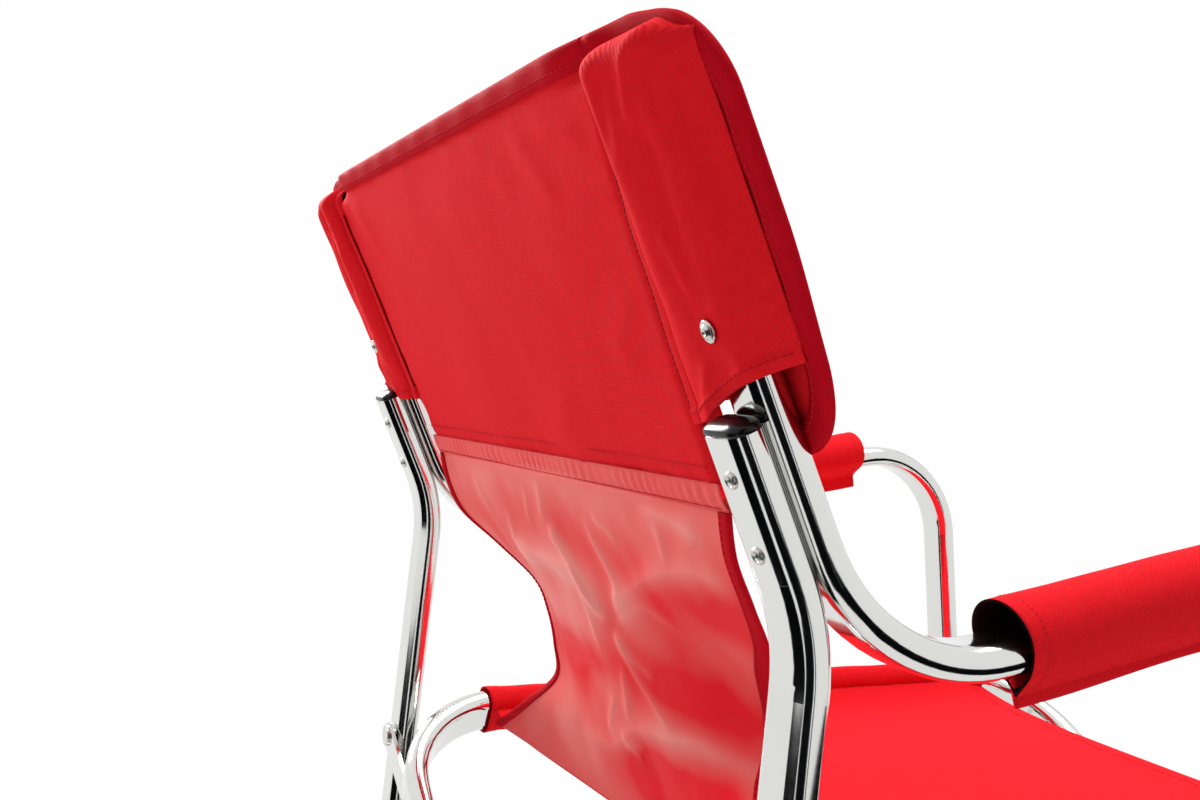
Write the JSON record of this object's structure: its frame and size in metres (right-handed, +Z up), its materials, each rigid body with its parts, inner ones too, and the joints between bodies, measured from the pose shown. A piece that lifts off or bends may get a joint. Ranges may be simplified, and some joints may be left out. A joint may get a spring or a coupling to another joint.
{
  "type": "folding director's chair",
  "caption": "Folding director's chair with flat-oval tube side frames, crossed seat frames, cranked links, and a slung cloth seat and back.",
  "frame": {"origin": "On the floor, midway between the chair's left and right sides and between its rearmost and foremost points, with the chair open.", "axes": "+Z up, the sitter faces -Y, and +X is the sitter's left."},
  "size_m": [0.5964, 0.613, 0.7482],
  "materials": {
    "polished_tube": "polished",
    "steel": "polished",
    "black_plastic": "satin",
    "red_cloth": "woven",
    "coated_cloth": "coated, semi-gloss",
    "binding": "woven tape"
  },
  "bodies": {
    "side_frame_right": {"side_tube_right": "polished_tube", "rear_leg_right": "polished_tube", "leg_rivets_right": "steel", "leg_cap_right": "black_plastic", "upright_cap_right": "black_plastic", "rear_foot_right": "black_plastic", "front_foot_right": "black_plastic", "arm_sleeve_right": "red_cloth", "pocket_right": "red_cloth", "snap_right": "steel", "lower_pins_right": "steel", "lower_bushes_right": "black_plastic", "link_pins_right": "steel", "back_front_cloth": "red_cloth", "back_rear_cover": "red_cloth", "back_binding": "binding", "lower_back_cloth": "coated_cloth", "lower_back_binding": "binding", "hem_band": "coated_cloth"},
    "side_frame_left": {"side_tube_left": "polished_tube", "rear_leg_left": "polished_tube", "leg_rivets_left": "steel", "leg_cap_left": "black_plastic", "upright_cap_left": "black_plastic", "rear_foot_left": "black_plastic", "front_foot_left": "black_plastic", "arm_sleeve_left": "red_cloth", "pocket_left": "red_cloth", "snap_left": "steel", "lower_pins_left": "steel", "lower_bushes_left": "black_plastic", "link_pins_left": "steel"},
    "seat_frame_a": {"seat_frame_left": "polished_tube", "seat_plugs_left": "black_plastic", "link_rivets_left": "steel", "seat_sleeve_left": "red_cloth", "centre_pins": "steel", "centre_washers": "black_plastic", "seat_cloth": "red_cloth"},
    "seat_frame_b": {"seat_frame_right": "polished_tube", "seat_plugs_right": "black_plastic", "link_rivets_right": "steel", "seat_sleeve_right": "red_cloth"},
    "link_rear_right": {"link_rear_right": "polished_tube", "link_bush_rear_right": "steel"},
    "link_rear_left": {"link_rear_left": "polished_tube", "link_bush_rear_left": "steel"},
    "link_front_right": {"link_front_right": "polished_tube", "link_bush_front_right": "steel"},
    "link_front_left": {"link_front_left": "polished_tube", "link_bush_front_left": "steel"}
  },
  "joints": [
    {"name": "fold", "type": "hinge", "parent": "side_frame_right", "child": "seat_frame_a", "pos_m": [-0.255, -0.00452, 0.118], "axis": [0, -1, 0], "range_deg": [0, 44.51], "deforming": ["back_front_cloth", "back_rear_cover", "back_binding", "lower_back_cloth", "lower_back_binding", "hem_band", "seat_cloth"]},
    {"name": "cross", "type": "hinge", "parent": "seat_frame_a", "child": "seat_frame_b", "pos_m": [0, -0.00452, 0.25925], "axis": [0, -1, 0], "range_deg": [-100.1, 0]},
    {"name": "left_pivot", "type": "hinge", "parent": "seat_frame_b", "child": "side_frame_left", "pos_m": [0.255, -0.00452, 0.118], "axis": [0, -1, 0], "range_deg": [0, 44.61]},
    {"name": "rear_link_right", "type": "hinge", "parent": "side_frame_right", "child": "link_rear_right", "pos_m": [-0.255, -0.00452, 0.356], "axis": [0, -1, 0], "range_deg": [0, 79.7]},
    {"name": "front_link_right", "type": "hinge", "parent": "side_frame_right", "child": "link_front_right", "pos_m": [-0.255, -0.00452, 0.356], "axis": [0, -1, 0], "range_deg": [0, 79.7]},
    {"name": "rear_link_left", "type": "hinge", "parent": "side_frame_left", "child": "link_rear_left", "pos_m": [0.255, -0.00452, 0.356], "axis": [0, -1, 0], "range_deg": [-79.7, 0]},
    {"name": "front_link_left", "type": "hinge", "parent": "side_frame_left", "child": "link_front_left", "pos_m": [0.255, -0.00452, 0.356], "axis": [0, -1, 0], "range_deg": [-79.7, 0]}
  ],
  "couplings": [
    {"joint": "cross", "follows": "fold", "ratio": -2.2466},
    {"joint": "left_pivot", "follows": "fold", "ratio": 1},
    {"joint": "rear_link_right", "follows": "fold", "ratio": 1.7882},
    {"joint": "front_link_right", "follows": "fold", "ratio": 1.7882},
    {"joint": "rear_link_left", "follows": "fold", "ratio": -1.7882},
    {"joint": "front_link_left", "follows": "fold", "ratio": -1.7882}
  ]
}
